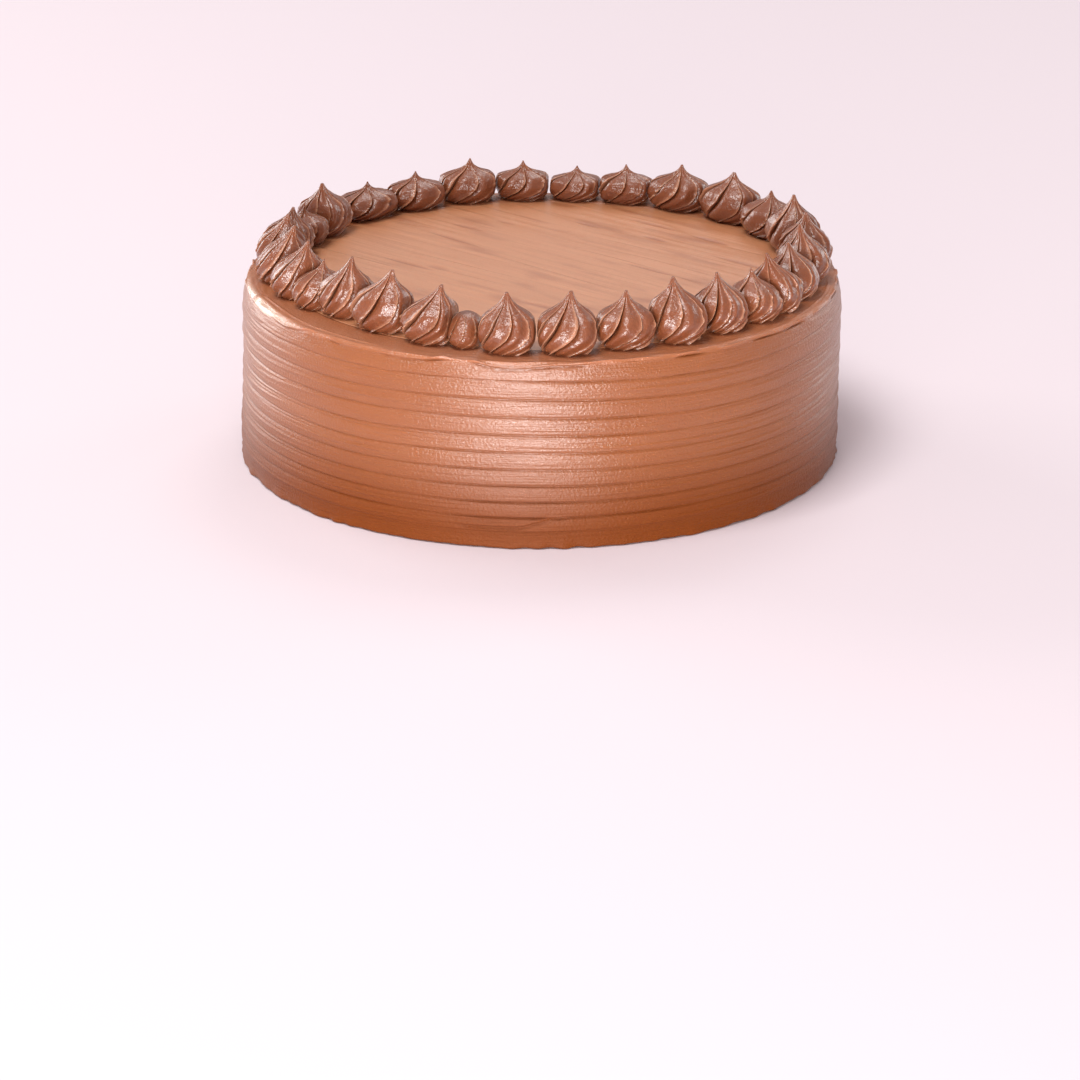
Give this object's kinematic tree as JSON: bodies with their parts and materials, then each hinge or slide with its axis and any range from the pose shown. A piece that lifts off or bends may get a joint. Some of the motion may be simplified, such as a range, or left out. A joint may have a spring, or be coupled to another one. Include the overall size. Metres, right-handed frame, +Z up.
{
  "type": "layer cake",
  "caption": "Round chocolate layer cake, uncut, with comb-ridged frosting on its side and a ring of piped star swirls on its flat top.",
  "frame": {"origin": "on the surface the cake rests on, under the middle of its base", "axes": "+Z up, through the middle of the cake; -Y towards the side the picture shows"},
  "size_m": [0.2284, 0.2283, 0.0924],
  "materials": {
    "combed_buttercream": "chocolate buttercream spread smooth and combed, soft satin",
    "piped_buttercream": "chocolate buttercream piped through a star nozzle, moist and slightly glossy"
  },
  "bodies": {
    "root": {"iced_cake": "combed_buttercream", "swirl_01": "piped_buttercream", "swirl_02": "piped_buttercream", "swirl_03": "piped_buttercream", "swirl_04": "piped_buttercream", "swirl_05": "piped_buttercream", "swirl_06": "piped_buttercream", "swirl_07": "piped_buttercream", "swirl_08": "piped_buttercream", "swirl_09": "piped_buttercream", "swirl_10": "piped_buttercream", "swirl_11": "piped_buttercream", "swirl_12": "piped_buttercream", "swirl_13": "piped_buttercream", "swirl_14": "piped_buttercream", "swirl_15": "piped_buttercream", "swirl_16": "piped_buttercream", "swirl_17": "piped_buttercream", "swirl_18": "piped_buttercream", "swirl_19": "piped_buttercream", "swirl_20": "piped_buttercream", "swirl_21": "piped_buttercream", "swirl_22": "piped_buttercream", "swirl_23": "piped_buttercream", "swirl_24": "piped_buttercream", "swirl_25": "piped_buttercream", "swirl_26": "piped_buttercream", "swirl_27": "piped_buttercream", "swirl_28": "piped_buttercream", "swirl_29": "piped_buttercream", "swirl_30": "piped_buttercream", "swirl_31": "piped_buttercream"}
  },
  "joints": []
}
